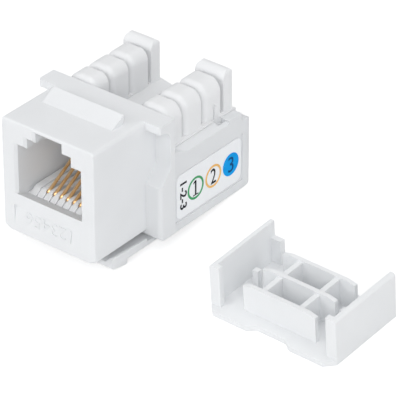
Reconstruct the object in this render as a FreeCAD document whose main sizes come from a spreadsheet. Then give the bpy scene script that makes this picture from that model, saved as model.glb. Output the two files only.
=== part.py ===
"""Keystone jack with a six-contact modular port, insulation-displacement towers and a wiring cap.

Millimetres.  X runs across the jack, +Y from the front face to the rear, +Z up.
The origin is the centre of the front face, where the jack fills a wall plate's opening.
"""
import FreeCAD, Part
import math
import os

import Sketcher

Vector = FreeCAD.Vector
Rotation = FreeCAD.Rotation
Placement = FreeCAD.Placement

SIZES = {
    # front housing
    "face_width": 14.5,
    "face_height": 15.8,
    "face_corner_width": 0.95,
    "face_corner_height": 0.5,
    "face_edge_round": 0.25,
    "top_edge_round": 0.5,
    "housing_length": 12.5,
    # side flange, with the slanted relief that clears a wall plate's latch lip
    "flange_depth": 2.8,
    "flange_width": 19.2,
    "flange_drop": 0.5,
    "flange_edge_round": 0.6,
    "relief_low": 7.0,
    "relief_bend_height": 9.2,
    "relief_depth": 2.0,
    "relief_round": 1.5,
    "relief_top_round": 1.7,
    # top wing
    "wing_thickness": 1.1,
    "wing_end_round": 0.3,
    # fixed lug on the roof
    "lug_width": 11.0,
    "lug_start": 5.6,
    "lug_end": 7.85,
    "lug_rise": 1.2,
    # modular port
    "port_width": 10.0,
    "port_floor": 5.65,
    "port_shoulder": 12.45,
    "port_key_width": 6.9,
    "port_key_rise": 1.35,
    "port_latch_width": 4.1,
    "port_latch_rise": 1.3,
    "port_depth": 11.0,
    "port_lead_in": 0.35,
    "sill_drop": 0.75,
    # shallow panel under the port
    "panel_width": 10.55,
    "panel_shift": -0.28,
    "panel_top": 3.9,
    "panel_bottom": 1.2,
    "panel_depth": 0.35,
    # flexible latch
    "latch_width": 15.3,
    "latch_gap": 0.58,
    "latch_thickness": 0.92,
    "latch_strip_thickness": 0.55,
    "latch_rim_lift": 0.35,
    "latch_rim_clearance": 0.08,
    "latch_rim_back": 9.4,
    "latch_lip_length": 0.55,
    "latch_root_length": 0.7,
    "latch_front": 2.75,
    "latch_pivot_inset": 1.1,
    "latch_pivot_gap": 0.05,
    "barb_back": 5.6,
    "barb_front": 4.1,
    "barb_height": 0.7,
    "barb_nose_height": 0.2,
    "root_wall": 0.75,
    "root_boss_lift": 0.1,
    # comb insert
    "comb_front": 1.9,
    "comb_back_inset": 0.3,
    "comb_height": 2.95,
    "comb_round": 0.8,
    "comb_nose_length": 1.1,
    "comb_nose_drop": 0.8,
    "comb_groove_width": 0.2,
    "comb_groove_depth": 0.25,
    "comb_clearance": 0.05,
    "comb_end_gap": 0.3,
    "comb_slot_width": 0.48,
    "comb_slot_depth": 0.65,
    "lead_slot_room": 0.12,
    # contact wires
    "contact_pitch": 1.02,
    "wire_diameter": 0.42,
    "fold_radius": 0.6,
    "fold_depth": 3.6,
    "fold_drop": 0.58,
    "contact_angle": 30.0,
    "contact_tip": 7.9,
    "lead_turn_inset": 2.7,
    "lead_bend_radius": 0.6,
    "lead_stagger": 1.6,
    # rear shell
    "shell_inset": 0.05,
    "shell_length": 15.5,
    "shell_wall": 1.2,
    "shell_back_wall": 1.8,
    "shell_floor": 1.2,
    "shell_height": 10.05,
    "shell_lip_rise": 0.5,
    "gusset_rise": 0.9,
    "gusset_top_length": 0.3,
    "gusset_length": 2.5,
    "shell_corner": 1.2,
    "shell_bottom_round": 1.6,
    "shell_top_round": 1.5,
    "shell_rear_drop": 0.65,
    "rim_back_inset": 2.3,
    "rim_pocket_lead": 0.4,
    "rim_pocket_length": 1.5,
    "rim_pocket_depth": 0.3,
    "rim_pocket_reach": 0.65,
    "pad_rise": 0.45,
    # labels and the recess they sit in
    "label_front_inset": 0.45,
    "label_back_inset": 2.3,
    "label_bottom": 0.95,
    "label_top": 7.15,
    "label_thickness": 0.12,
    "label_round": 0.9,
    "label_margin": 0.3,
    "label_recess": 0.2,
    # insulation-displacement block
    "block_clearance": 0.05,
    "block_ledge_rise": 0.55,
    "channel_width": 7.0,
    "channel_drop": 0.4,
    "trench_width": 3.4,
    "trench_drop": 2.4,
    "tower_side_inset": 0.3,
    "tower_height": 5.35,
    "tower_front_inset": 0.5,
    "tower_back_inset": 2.25,
    "tower_inner_shoulder": 1.5,
    "tower_outer_shoulder": 1.95,
    "tower_front_round": 0.9,
    "tower_back_round": 0.3,
    "rear_tower_rise": 0.45,
    "rear_tower_shoulder": 0.5,
    "rear_tower_round": 1.1,
    "slot_first_inset": 3.6,
    "slot_pitch": 3.8,
    "slot_width": 0.64,
    "slot_floor_rise": 0.3,
    "guide_groove_step": 2.2,
    "guide_groove_width": 0.35,
    "guide_hole": 0.6,
    "guide_groove_depth": 0.3,
    "guide_groove_height": 1.9,
    # circuit board and terminals
    "board_side_gap": 0.35,
    "board_front_gap": 0.7,
    "board_back_gap": 0.8,
    "board_top": 6.2,
    "board_thickness": 1.0,
    "board_rail_width": 1.2,
    "board_hole_clearance": 0.05,
    "blade_inset": 2.25,
    "blade_thickness": 0.4,
    "blade_width": 2.4,
    "blade_cover": 1.95,
    "blade_slit": 0.3,
    "blade_slit_length": 4.6,
    "blade_leg_width": 0.8,
    "blade_leg_length": 1.7,
    "blade_clearance": 0.04,
    # wiring cap, taken off and lying upside down beside the jack
    "cap_inset": 0.1,
    "cap_depth": 12.7,
    "cap_floor": 0.7,
    "cap_wall": 0.75,
    "cap_wall_height": 6.4,
    "cap_front_lip": 0.75,
    "cap_blade_first": 2.75,
    "cap_blade_thickness": 0.58,
    "cap_blade_height": 4.6,
    "cap_blade_width": 10.8,
    "cap_blade_shoulder": 0.3,
    "cap_rib_spacing": 5.6,
    "cap_rib_thickness": 0.7,
    "cap_return_width": 1.5,
    "cap_return_height": 4.2,
    "cap_return_thickness": 0.8,
    "cap_post_across": 6.6,
    "cap_post_size": 0.8,
    "cap_post_height": 3.6,
    "cap_notch_width": 4.6,
    "cap_notch_depth": 0.8,
    "cap_notch_round": 1.1,
    "cap_corner": 1.2,
    "cap_edge_round": 0.35,
    "cap_across": 31.0,
    "cap_along": -1.8,
    "cap_turn": -1.2,
}

CONTACTS = 6
COMB_SLOTS = 8
SLOTS_PER_ROW = 3
OVERLAP = 0.3
CUT_PAST = 0.5


class Size:
    """A length with the sheet expression that gives it, so that both are written once."""

    def __init__(self, value, text):
        self.value = value
        self.text = text

    def _join(self, other, sign, value):
        return Size(value, f"({self.text} {sign} {text_of(other)})")

    def __add__(self, other):
        return self._join(other, "+", self.value + value_of(other))

    def __sub__(self, other):
        return self._join(other, "-", self.value - value_of(other))

    def __mul__(self, other):
        return self._join(other, "*", self.value * value_of(other))

    def __truediv__(self, other):
        return self._join(other, "/", self.value / value_of(other))

    def __neg__(self):
        return Size(-self.value, f"(-1 * {self.text})")


def value_of(size):
    return size.value if isinstance(size, Size) else float(size)


def text_of(size):
    return size.text if isinstance(size, Size) else f"{float(size):g}"


def sine(angle):
    """Sine of a Size that holds degrees."""
    return Size(math.sin(math.radians(angle.value)), f"sin({angle.text} * 1 deg)")


def cosine(angle):
    """Cosine of a Size that holds degrees."""
    return Size(math.cos(math.radians(angle.value)), f"cos({angle.text} * 1 deg)")


doc = FreeCAD.newDocument("keystone_jack")
sheet = doc.addObject("Spreadsheet::Sheet", "Sizes")
for row, (alias, number) in enumerate(SIZES.items(), start=1):
    sheet.set(f"A{row}", alias)
    sheet.set(f"B{row}", f"{number:g}")
    sheet.setAlias(f"B{row}", alias)
doc.recompute()


def size(alias):
    return Size(SIZES[alias], f"Sizes.{alias}")


class Moulding:
    """A PartDesign body built from polygon profiles whose corners are bound to the sheet."""

    def __init__(self, label):
        self.body = doc.addObject("PartDesign::Body", label)
        self.body.Label = label
        self.count = 0

    def origin_feature(self, role):
        return next(item for item in self.body.Origin.OriginFeatures if item.Role == role)

    def name(self, kind):
        self.count += 1
        return f"{self.body.Name}_{kind}_{self.count}"

    def new_sketch(self, plane, offset):
        """Empty sketch on an origin plane, moved along the frame's own axis by offset."""
        sketch = self.body.newObject("Sketcher::SketchObject", self.name("sketch"))
        sketch.AttachmentSupport = [(self.origin_feature(f"{plane}_Plane"), "")]
        sketch.MapMode = "FlatFace"
        if offset is not None:
            along_normal = -offset if plane == "XZ" else offset
            sketch.AttachmentOffset = Placement(Vector(0, 0, along_normal.value), Rotation())
            sketch.setExpression("AttachmentOffset.Base.z", along_normal.text)
        return sketch

    def outline(self, plane, points, offset=None):
        """Closed polygon; each corner is held from the sketch's origin."""
        sketch = self.new_sketch(plane, offset)
        corners = [Vector(value_of(u), value_of(v), 0) for u, v in points]
        for start, end in zip(corners, corners[1:] + corners[:1]):
            sketch.addGeometry(Part.LineSegment(start, end), False)
        for index, (u, v) in enumerate(points):
            following = (index + 1) % len(points)
            sketch.addConstraint(Sketcher.Constraint("Coincident", index, 2, following, 1))
            self.hold(sketch, index, 1, u, v)
        return sketch

    def hold(self, sketch, geometry, point, u, v):
        """Bind one sketch point to two sizes."""
        for kind, axis, length in (("DistanceX", -2, u), ("DistanceY", -1, v)):
            if value_of(length) == 0:
                sketch.addConstraint(Sketcher.Constraint("PointOnObject", geometry, point, axis))
                continue
            number = sketch.addConstraint(
                Sketcher.Constraint(kind, -1, 1, geometry, point, value_of(length)))
            if isinstance(length, Size):
                sketch.setExpression(f"Constraints[{number}]", length.text)

    def round_off(self, plane, corner, inward, radius, width, up=1):
        """Cut a corner of the section to a quarter round.

        inward is the way from the corner into the material along the sketch's first axis, and up
        is +1 for an upper corner and -1 for a lower one.
        """
        sketch = self.new_sketch(plane, None)
        u, v = corner
        reach = radius * inward
        low = (u, v - radius * up)
        far = (u + reach, v)
        centre = (u + reach, v - radius * up)
        spots = [Vector(value_of(a), value_of(b), 0) for a, b in (low, corner, far)]
        sketch.addGeometry(Part.LineSegment(spots[0], spots[1]), False)
        sketch.addGeometry(Part.LineSegment(spots[1], spots[2]), False)
        quarter = {(-1, 1): 0, (1, 1): 1, (1, -1): 2, (-1, -1): 3}[(inward, up)]
        turns = (quarter * math.pi / 2, (quarter + 1) * math.pi / 2)
        middle = Vector(value_of(centre[0]), value_of(centre[1]), 0)
        circle = Part.Circle(middle, Vector(0, 0, 1), value_of(radius))
        sketch.addGeometry(Part.ArcOfCircle(circle, *turns), False)
        sketch.addConstraint(Sketcher.Constraint("Coincident", 0, 2, 1, 1))
        far_end, low_end = (1, 2) if inward == up else (2, 1)
        sketch.addConstraint(Sketcher.Constraint("Coincident", 1, 2, 2, far_end))
        sketch.addConstraint(Sketcher.Constraint("Coincident", 0, 1, 2, low_end))
        self.hold(sketch, 1, 1, *corner)
        self.hold(sketch, 0, 1, *low)
        self.hold(sketch, 1, 2, *far)
        number = sketch.addConstraint(Sketcher.Constraint("Radius", 2, value_of(radius)))
        sketch.setExpression(f"Constraints[{number}]", radius.text)
        return self.extrude("Pocket", sketch, width, symmetric=True)

    def hold_height(self, sketch, geometry, point, v):
        """Bind one sketch point to a size along the sketch's second axis only."""
        number = sketch.addConstraint(
            Sketcher.Constraint("DistanceY", -1, 1, geometry, point, v.value))
        sketch.setExpression(f"Constraints[{number}]", v.text)

    def circle(self, plane, centre, radius, offset=None):
        sketch = self.new_sketch(plane, offset)
        middle = Vector(value_of(centre[0]), value_of(centre[1]), 0)
        sketch.addGeometry(Part.Circle(middle, Vector(0, 0, 1), value_of(radius)), False)
        self.hold(sketch, 0, 3, *centre)
        number = sketch.addConstraint(Sketcher.Constraint("Radius", 0, value_of(radius)))
        sketch.setExpression(f"Constraints[{number}]", text_of(radius))
        return sketch

    def extrude(self, kind, sketch, length, symmetric, backwards=False):
        feature = self.body.newObject(f"PartDesign::{kind}", self.name(kind.lower()))
        feature.Profile = sketch
        feature.Length = value_of(length)
        if isinstance(length, Size):
            feature.setExpression("Length", length.text)
        if symmetric:
            feature.SideType = "Symmetric"
        feature.Reversed = backwards
        sketch.Visibility = False
        before = self.volume()
        doc.recompute()
        if (self.volume() - before) * (1 if kind == "Pad" else -1) < 1e-6:
            raise RuntimeError(f"{feature.Name} leaves the piece as it was")
        return feature

    def volume(self):
        shape = self.body.Shape
        return 0.0 if shape.isNull() else shape.Volume

    def pad(self, plane, points, length, offset=None, symmetric=False):
        """Add a prism; one on the XZ plane grows towards the rear."""
        return self.extrude("Pad", self.outline(plane, points, offset), length, symmetric, plane == "XZ")

    def pocket(self, plane, points, length, offset=None, symmetric=False, forwards=False):
        """Cut a prism; from the XZ plane it cuts towards the rear, from the XY plane downwards."""
        return self.extrude("Pocket", self.outline(plane, points, offset), length, symmetric, forwards)

    def dress(self, kind, length, picker):
        """Fillet or Chamfer on the edges of the present tip that picker accepts."""
        base = self.body.Tip
        names = [f"Edge{i}" for i, edge in enumerate(base.Shape.Edges, start=1) if picker(edge)]
        if not names:
            raise RuntimeError(f"{self.body.Label}: no edge to dress")
        feature = self.body.newObject(f"PartDesign::{kind}", self.name(kind.lower()))
        feature.Base = (base, names)
        prop = "Radius" if kind == "Fillet" else "Size"
        setattr(feature, prop, value_of(length))
        if isinstance(length, Size):
            feature.setExpression(prop, length.text)
        doc.recompute()
        return feature

    def repeat(self, feature, role, spacing, copies):
        pattern = self.body.newObject("PartDesign::LinearPattern", self.name("pattern"))
        pattern.Originals = [feature]
        pattern.Direction = (self.origin_feature(role), [""])
        pattern.Mode = "Spacing"
        pattern.Offset = value_of(spacing)
        pattern.setExpression("Offset", text_of(spacing))
        pattern.Occurrences = copies
        self.body.Tip = pattern
        doc.recompute()
        return pattern

    def mirror(self, features, role="YZ_Plane"):
        mirrored = self.body.newObject("PartDesign::Mirrored", self.name("mirror"))
        mirrored.Originals = features
        mirrored.MirrorPlane = (self.origin_feature(role), [""])
        self.body.Tip = mirrored
        doc.recompute()
        return mirrored


def rectangle(low_u, low_v, high_u, high_v):
    return [(low_u, low_v), (high_u, low_v), (high_u, high_v), (low_u, high_v)]


def centred(width, low_v, high_v):
    return rectangle(-width / 2, low_v, width / 2, high_v)


def near(value, target, room=0.02):
    return abs(value - value_of(target)) < room


def along(edge, axis):
    """Whether a straight edge runs along one frame axis."""
    box = edge.BoundBox
    spans = {"X": box.XLength, "Y": box.YLength, "Z": box.ZLength}
    others = [span for name, span in spans.items() if name != axis]
    return spans[axis] > 1e-3 and max(others) < 1e-3


def edge_at(axis, **where):
    """Picker for straight edges along axis whose middle has the given coordinates."""
    def picker(edge):
        if not along(edge, axis):
            return False
        centre = edge.BoundBox.Center
        middle = {"x": centre.x, "y": centre.y, "z": centre.z}
        return all(near(abs(middle[key]) if key == "x" else middle[key], value)
                   for key, value in where.items())
    return picker


def any_of(*pickers):
    return lambda edge: any(picker(edge) for picker in pickers)


def drop_to_centre(body):
    """Modelled from the housing's underside; the frame's origin is the middle of the face."""
    body.Placement = Placement(Vector(0, 0, -SIZES["face_height"] / 2), Rotation())
    body.setExpression("Placement.Base.z", "-1 * Sizes.face_height / 2")


face_width = size("face_width")
face_height = size("face_height")
housing_length = size("housing_length")
flange_front = housing_length - size("flange_depth")
port_floor = size("port_floor")
underside = -size("flange_drop")
latch_top = -size("latch_gap")
latch_bottom = latch_top - size("latch_thickness")
barb_bottom = latch_bottom - size("barb_height")
pivot_height = latch_top - size("latch_thickness") / 2
root_radius = size("latch_thickness") / 2
latch_pivot = housing_length - size("latch_pivot_inset")

comb_back = housing_length - size("comb_back_inset")
comb_bottom = port_floor - size("comb_height")
comb_slot_floor = port_floor - size("comb_slot_depth")
fold_height = port_floor - size("fold_drop")
lead_height = fold_height - size("fold_radius")
lead_turn = housing_length + size("lead_turn_inset")

shell_width = size("flange_width") - size("shell_inset") * 2
shell_inner = shell_width / 2 - size("shell_wall")
shell_back = housing_length + size("shell_length")
shell_inner_back = shell_back - size("shell_back_wall")
rim_back = shell_back - size("rim_back_inset")
label_front = housing_length + size("label_front_inset")
label_back = shell_back - size("label_back_inset")

block_half = shell_inner - size("block_clearance")
block_ledge = size("shell_height") + size("block_ledge_rise")
tower_outer = block_half - size("tower_side_inset")
tower_top = block_ledge + size("tower_height")
tower_front = housing_length + size("tower_front_inset")
tower_back = shell_back - size("tower_back_inset")
slot_first = housing_length + size("slot_first_inset")
slot_floor = block_ledge + size("slot_floor_rise")
guide_groove = slot_first + size("slot_pitch") + size("guide_groove_step")
guide_groove_top = block_ledge + size("guide_groove_height")
rim_pocket_start = guide_groove - size("rim_pocket_lead")
rim_pocket_back = rim_pocket_start + size("rim_pocket_length")
rim_pocket_floor = size("shell_height") - size("rim_pocket_depth")
blade_top = tower_top - size("blade_cover")
blade_across = tower_outer - size("blade_inset")
cap_width = shell_width - size("cap_inset") * 2


def build_front_housing():
    """Face, port, roof lug, side flange and wing: one moulding."""
    part = Moulding("front_housing")
    half = face_width / 2
    corner = size("face_corner_height")
    inset = half - size("face_corner_width")
    face = [(-half, corner), (-inset, 0), (inset, 0), (half, corner),
            (half, face_height), (-half, face_height)]
    part.pad("XZ", face, housing_length)

    lug = [(size("lug_start"), face_height - OVERLAP), (size("lug_end"), face_height - OVERLAP),
           (size("lug_end"), face_height + size("lug_rise")), (size("lug_start"), face_height)]
    part.pad("YZ", lug, size("lug_width"), symmetric=True)
    part.dress("Fillet", size("top_edge_round"), edge_at("Y", x=half, z=face_height))

    wing_bottom = face_height - size("wing_thickness")
    wing = rectangle(flange_front, wing_bottom, housing_length, face_height)
    part.pad("YZ", wing, size("flange_width"), symmetric=True)
    flange_half = size("flange_width") / 2
    part.dress("Fillet", size("wing_end_round"), edge_at("Z", x=flange_half, y=flange_front))
    relief = flange_front + size("relief_depth")
    flange = [(flange_front, underside), (housing_length, underside),
              (housing_length, wing_bottom + OVERLAP), (relief, wing_bottom + OVERLAP),
              (relief, size("relief_bend_height")), (flange_front, size("relief_low"))]
    part.pad("YZ", flange, size("flange_width"), symmetric=True)
    part.dress("Fillet", size("flange_edge_round"),
               any_of(edge_at("X", y=flange_front, z=underside),
                      edge_at("Z", x=flange_half, y=flange_front)))
    part.dress("Fillet", size("relief_round"), edge_at("X", y=relief, z=size("relief_bend_height")))
    part.dress("Fillet", size("relief_top_round"), edge_at("X", y=relief, z=wing_bottom))

    cut_port(part)
    cut_panel(part)
    add_latch_root(part)
    part.dress("Fillet", size("face_edge_round"), front_face_rim)
    drop_to_centre(part.body)
    return part.body


def front_face_rim(edge):
    """Outer edges of the front face."""
    box = edge.BoundBox
    if box.YLength > 1e-3 or not near(box.Center.y, 0):
        return False
    half = face_width.value / 2
    centre = box.Center
    on_side = near(abs(centre.x), half)
    on_roof = near(centre.z, face_height)
    on_floor = near(centre.z, 0)
    on_corner = abs(centre.x) > half - face_width.value * 0.1 and not on_side
    low_or_high = centre.z < size("face_corner_height").value or centre.z > value_of(face_height) - 1
    return on_side or on_roof or on_floor or (on_corner and low_or_high)


def cut_port(part):
    """Stepped port with its lead-in, the sloping sill, and the seat of the comb insert."""
    wide = size("port_width") / 2
    key = size("port_key_width") / 2
    latch = size("port_latch_width") / 2
    shoulder = size("port_shoulder")
    key_top = shoulder + size("port_key_rise")
    roof = key_top + size("port_latch_rise")
    stepped = [(-wide, port_floor), (wide, port_floor), (wide, shoulder), (key, shoulder),
               (key, key_top), (latch, key_top), (latch, roof), (-latch, roof),
               (-latch, key_top), (-key, key_top), (-key, shoulder), (-wide, shoulder)]
    part.pocket("XZ", stepped, size("port_depth"))
    sides = any_of(edge_on_face("Z"), edge_on_face("X", above=port_floor))
    part.dress("Chamfer", size("port_lead_in"), sides)
    comb_front = size("comb_front")
    sill_back = port_floor - size("sill_drop")
    sill = [(0, port_floor), (comb_front, sill_back), (comb_front, port_floor + OVERLAP),
            (0, port_floor + OVERLAP)]
    part.pocket("YZ", sill, size("port_width"), symmetric=True)
    seat = rectangle(-wide, comb_bottom - size("comb_clearance"), wide, port_floor + OVERLAP)
    part.pocket("XZ", seat, housing_length - comb_front + CUT_PAST, offset=comb_front)


def edge_on_face(axis, above=None):
    """Picker for the port's edges on the front face, apart from its floor."""
    def picker(edge):
        centre = edge.BoundBox.Center
        if not along(edge, axis) or not near(centre.y, 0):
            return False
        inside = abs(centre.x) < value_of(size("port_width")) / 2 + 0.1
        return inside and centre.z > value_of(port_floor) + 0.1 and centre.z < value_of(face_height) - 0.1
    return picker


def cut_panel(part):
    """Shallow panel under the port, deepest along its top edge."""
    wedge = [(0, size("panel_bottom")), (size("panel_depth"), size("panel_top")),
             (0, size("panel_top"))]
    left = size("panel_shift") - size("panel_width") / 2
    part.pocket("YZ", wedge, size("panel_width"), offset=left, forwards=True)


def add_latch_root(part):
    """Boss under the flange with the round seat that the latch bends from."""
    seat_radius = root_radius + size("latch_pivot_gap")
    boss_back = latch_pivot + seat_radius + size("root_wall")
    boss = rectangle(latch_pivot, latch_bottom + size("root_boss_lift"), boss_back, underside)
    width = size("latch_width")
    part.pad("YZ", boss, width, symmetric=True)
    bore = part.circle("YZ", (latch_pivot, pivot_height), seat_radius)
    part.extrude("Pocket", bore, width + CUT_PAST, symmetric=True)


def build_latch_arm():
    """Sprung arm under the housing: strip, barb, side rims, front lips and the round root."""
    part = Moulding("latch_arm")
    front = size("latch_front")
    back = size("barb_back")
    nose = size("barb_nose_height")
    strip_top = latch_bottom + size("latch_strip_thickness")
    root_front = latch_pivot - size("latch_root_length")
    arm = [(front, strip_top), (root_front, strip_top), (root_front, latch_top),
           (latch_pivot, latch_top), (latch_pivot, latch_bottom), (back, latch_bottom),
           (back, barb_bottom),
           (size("barb_front"), barb_bottom + nose), (front, latch_bottom - nose)]
    width = size("latch_width")
    part.pad("YZ", arm, width, symmetric=True)
    root = part.circle("YZ", (latch_pivot, pivot_height), root_radius)
    part.extrude("Pad", root, width, symmetric=True)
    part.dress("Fillet", size("face_edge_round"),
               any_of(edge_at("X", y=back, z=barb_bottom),
                      edge_at("X", y=front, z=latch_bottom - nose)))
    rim_foot = strip_top - OVERLAP
    rim_top = latch_top + size("latch_rim_lift")
    rim_inner = face_width / 2 + size("latch_rim_clearance")
    lip_length = size("latch_lip_length")
    rim = [(front, rim_foot), (size("latch_rim_back"), rim_foot), (size("latch_rim_back"), latch_top),
           (front + lip_length, rim_top), (front, rim_top)]
    part.pad("YZ", rim, width / 2 - rim_inner, offset=rim_inner)
    part.pad("YZ", rim, width / 2 - rim_inner, offset=-(width / 2))
    lip_start = face_width / 2 - (rim_top - strip_top)
    for side in (1, -1):
        lip = [(lip_start * side, rim_foot), (rim_inner * side, rim_foot), (rim_inner * side, rim_top),
               (face_width / 2 * side, rim_top), (lip_start * side, strip_top)]
        part.pad("XZ", lip, lip_length, offset=front)
    drop_to_centre(part.body)
    return part.body


def build_contact_carrier():
    """White comb insert: rounded teeth above, wire slots between them and below."""
    part = Moulding("contact_carrier")
    width = size("port_width") - size("comb_clearance") * 2
    front = size("comb_front")
    nose_back = front + size("comb_nose_length")
    nose_low = port_floor - size("comb_nose_drop")
    profile = [(front, comb_bottom), (comb_back, comb_bottom), (comb_back, port_floor),
               (nose_back, port_floor), (front, nose_low)]
    part.pad("YZ", profile, width, symmetric=True)
    part.dress("Fillet", size("comb_round"), edge_at("X", y=nose_back, z=port_floor))
    cut_tooth_grooves(part, nose_back, nose_low)
    crown = width / 2 - size("comb_end_gap")
    for side in (1, -1):
        low, high = sorted((crown * side, width / 2 * side), key=value_of)
        end_gap = rectangle(low, comb_slot_floor, high, port_floor + CUT_PAST)
        part.pocket("XZ", end_gap, comb_back - front + CUT_PAST, offset=front)
    cut_contact_slots(part)
    drop_to_centre(part.body)
    return part.body


def cut_tooth_grooves(part, nose_back, nose_low):
    """Shallow grooves that part the comb's top and nose into teeth."""
    depth = size("comb_groove_depth")
    first_groove = -(size("contact_pitch") * (COMB_SLOTS - 1) / 2)
    groove = [(size("comb_front"), nose_low - depth), (nose_back, port_floor - depth),
              (comb_back, port_floor - depth), (comb_back, port_floor + OVERLAP),
              (size("comb_front"), port_floor + OVERLAP)]
    feature = part.pocket("YZ", groove, size("comb_groove_width"), offset=first_groove, symmetric=True)
    part.repeat(feature, "X_Axis", size("contact_pitch"), COMB_SLOTS)


def cut_contact_slots(part):
    """Slots for the contacts: over the comb, under it, and one that joins them round each fold."""
    half = size("comb_slot_width") / 2
    left = -(size("contact_pitch") * (CONTACTS - 1) / 2) - half
    right = left + size("comb_slot_width")
    wire_room = size("wire_diameter") / 2 + size("lead_slot_room")
    fold_front = size("fold_depth") - size("fold_radius") - wire_room
    spans = [(comb_slot_floor, port_floor + CUT_PAST, comb_back + CUT_PAST),
             (comb_bottom - CUT_PAST, lead_height + wire_room, comb_back + CUT_PAST),
             (comb_bottom - CUT_PAST, port_floor + CUT_PAST, size("fold_depth"))]
    for low, high, back in spans:
        slot = rectangle(left, low, right, high)
        feature = part.pocket("XZ", slot, back - fold_front, offset=fold_front)
        part.repeat(feature, "X_Axis", size("contact_pitch"), CONTACTS)


FOLD_SHUT = 215.0
FOLD_OPEN = 244.0


def fold_point(angle, radius):
    """Point on the fold of a contact, in the YZ plane, at an angle from the rear."""
    turn = angle if isinstance(angle, Size) else Size(angle, f"{angle:g}")
    return size("fold_depth") + cosine(turn) * radius, fold_height + sine(turn) * radius


def sweep_round(part, path, start, direction, across):
    """Sweep the wire's round section along a path sketch."""
    profile = part.body.newObject("Sketcher::SketchObject", part.name("section"))
    radius = size("wire_diameter") / 2
    profile.addGeometry(Part.Circle(Vector(0, 0, 0), Vector(0, 0, 1), radius.value), False)
    profile.addConstraint(Sketcher.Constraint("Coincident", 0, 3, -1, 1))
    number = profile.addConstraint(Sketcher.Constraint("Radius", 0, radius.value))
    profile.setExpression(f"Constraints[{number}]", radius.text)
    place = Vector(value_of(across), value_of(start[0]), value_of(start[1]))
    profile.Placement = Placement(place, Rotation(Vector(0, 0, 1), direction))
    pipe = part.body.newObject("PartDesign::AdditivePipe", part.name("pipe"))
    pipe.Profile = profile
    pipe.Spine = path
    doc.recompute()
    return pipe


def build_contact_wire(number, across):
    """Sprung contact: most of the fold round the comb's nose, and the straight rising arm."""
    part = Moulding(f"contact_wire_{number}")
    radius = size("fold_radius")
    rise = size("contact_angle")
    top_angle = rise + 90
    foot = fold_point(top_angle, radius)
    tip_depth = size("contact_tip")
    tangent = Size(math.tan(math.radians(rise.value)), f"tan({rise.text} * 1 deg)")
    tip = (tip_depth, foot[1] + (tip_depth - foot[0]) * tangent)
    start = fold_point(FOLD_SHUT, radius)
    path = part.new_sketch("YZ", across)
    centre = Vector(SIZES["fold_depth"], fold_height.value, 0)
    fold = Part.ArcOfCircle(Part.Circle(centre, Vector(0, 0, 1), radius.value),
                            math.radians(top_angle.value), math.radians(FOLD_SHUT))
    path.addGeometry(fold, False)
    path.addGeometry(Part.LineSegment(Vector(foot[0].value, foot[1].value, 0),
                                      Vector(tip[0].value, tip[1].value, 0)), False)
    path.addConstraint(Sketcher.Constraint("Coincident", 0, 1, 1, 1))
    part.hold(path, 0, 3, size("fold_depth"), fold_height)
    part.hold(path, 1, 1, *foot)
    part.hold(path, 1, 2, *tip)
    part.hold_height(path, 0, 2, start[1])
    angle = math.radians(FOLD_SHUT)
    heading = Vector(0, -math.sin(angle), math.cos(angle))
    sweep_round(part, path, start, heading, across)
    drop_to_centre(part.body)
    return part.body


def build_contact_lead(number, across):
    """Fixed end of a contact: the rest of its fold, the run under the comb, and the board pin."""
    part = Moulding(f"contact_lead_{number}")
    radius = size("fold_radius")
    start = fold_point(FOLD_OPEN, radius)
    low = lead_height
    bend = size("lead_bend_radius")
    turn = lead_turn + lead_stagger(number)
    pin_top = size("board_top")
    path = part.new_sketch("YZ", across)
    centre = Vector(SIZES["fold_depth"], fold_height.value, 0)
    path.addGeometry(Part.ArcOfCircle(Part.Circle(centre, Vector(0, 0, 1), radius.value),
                                      math.radians(FOLD_OPEN), math.radians(270)), False)
    run_end = turn - bend
    path.addGeometry(Part.LineSegment(Vector(SIZES["fold_depth"], low.value, 0),
                                      Vector(run_end.value, low.value, 0)), False)
    bend_centre = Vector(run_end.value, low.value + bend.value, 0)
    path.addGeometry(Part.ArcOfCircle(Part.Circle(bend_centre, Vector(0, 0, 1), bend.value),
                                      math.radians(-90), 0.0), False)
    path.addGeometry(Part.LineSegment(Vector(turn.value, low.value + bend.value, 0),
                                      Vector(turn.value, pin_top.value, 0)), False)
    path.addConstraint(Sketcher.Constraint("Coincident", 0, 2, 1, 1))
    path.addConstraint(Sketcher.Constraint("Coincident", 1, 2, 2, 1))
    path.addConstraint(Sketcher.Constraint("Coincident", 2, 2, 3, 1))
    part.hold(path, 0, 3, size("fold_depth"), fold_height)
    part.hold(path, 1, 1, size("fold_depth"), low)
    part.hold(path, 1, 2, run_end, low)
    part.hold(path, 2, 3, run_end, low + bend)
    part.hold_height(path, 3, 1, low + bend)
    part.hold(path, 3, 2, turn, pin_top)
    part.hold_height(path, 0, 1, start[1])
    angle = math.radians(FOLD_OPEN)
    heading = Vector(0, -math.sin(angle), math.cos(angle))
    sweep_round(part, path, start, heading, across)
    drop_to_centre(part.body)
    return part.body


def lead_stagger(number):
    """Neighbouring pins stand in two rows, so that their board holes stay apart."""
    return size("lead_stagger") * (number % 2)


def contact_places():
    pitch = size("contact_pitch")
    return [pitch * (index - (CONTACTS - 1) / 2) for index in range(CONTACTS)]


def slot_place(index):
    return slot_first + size("slot_pitch") * index


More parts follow.
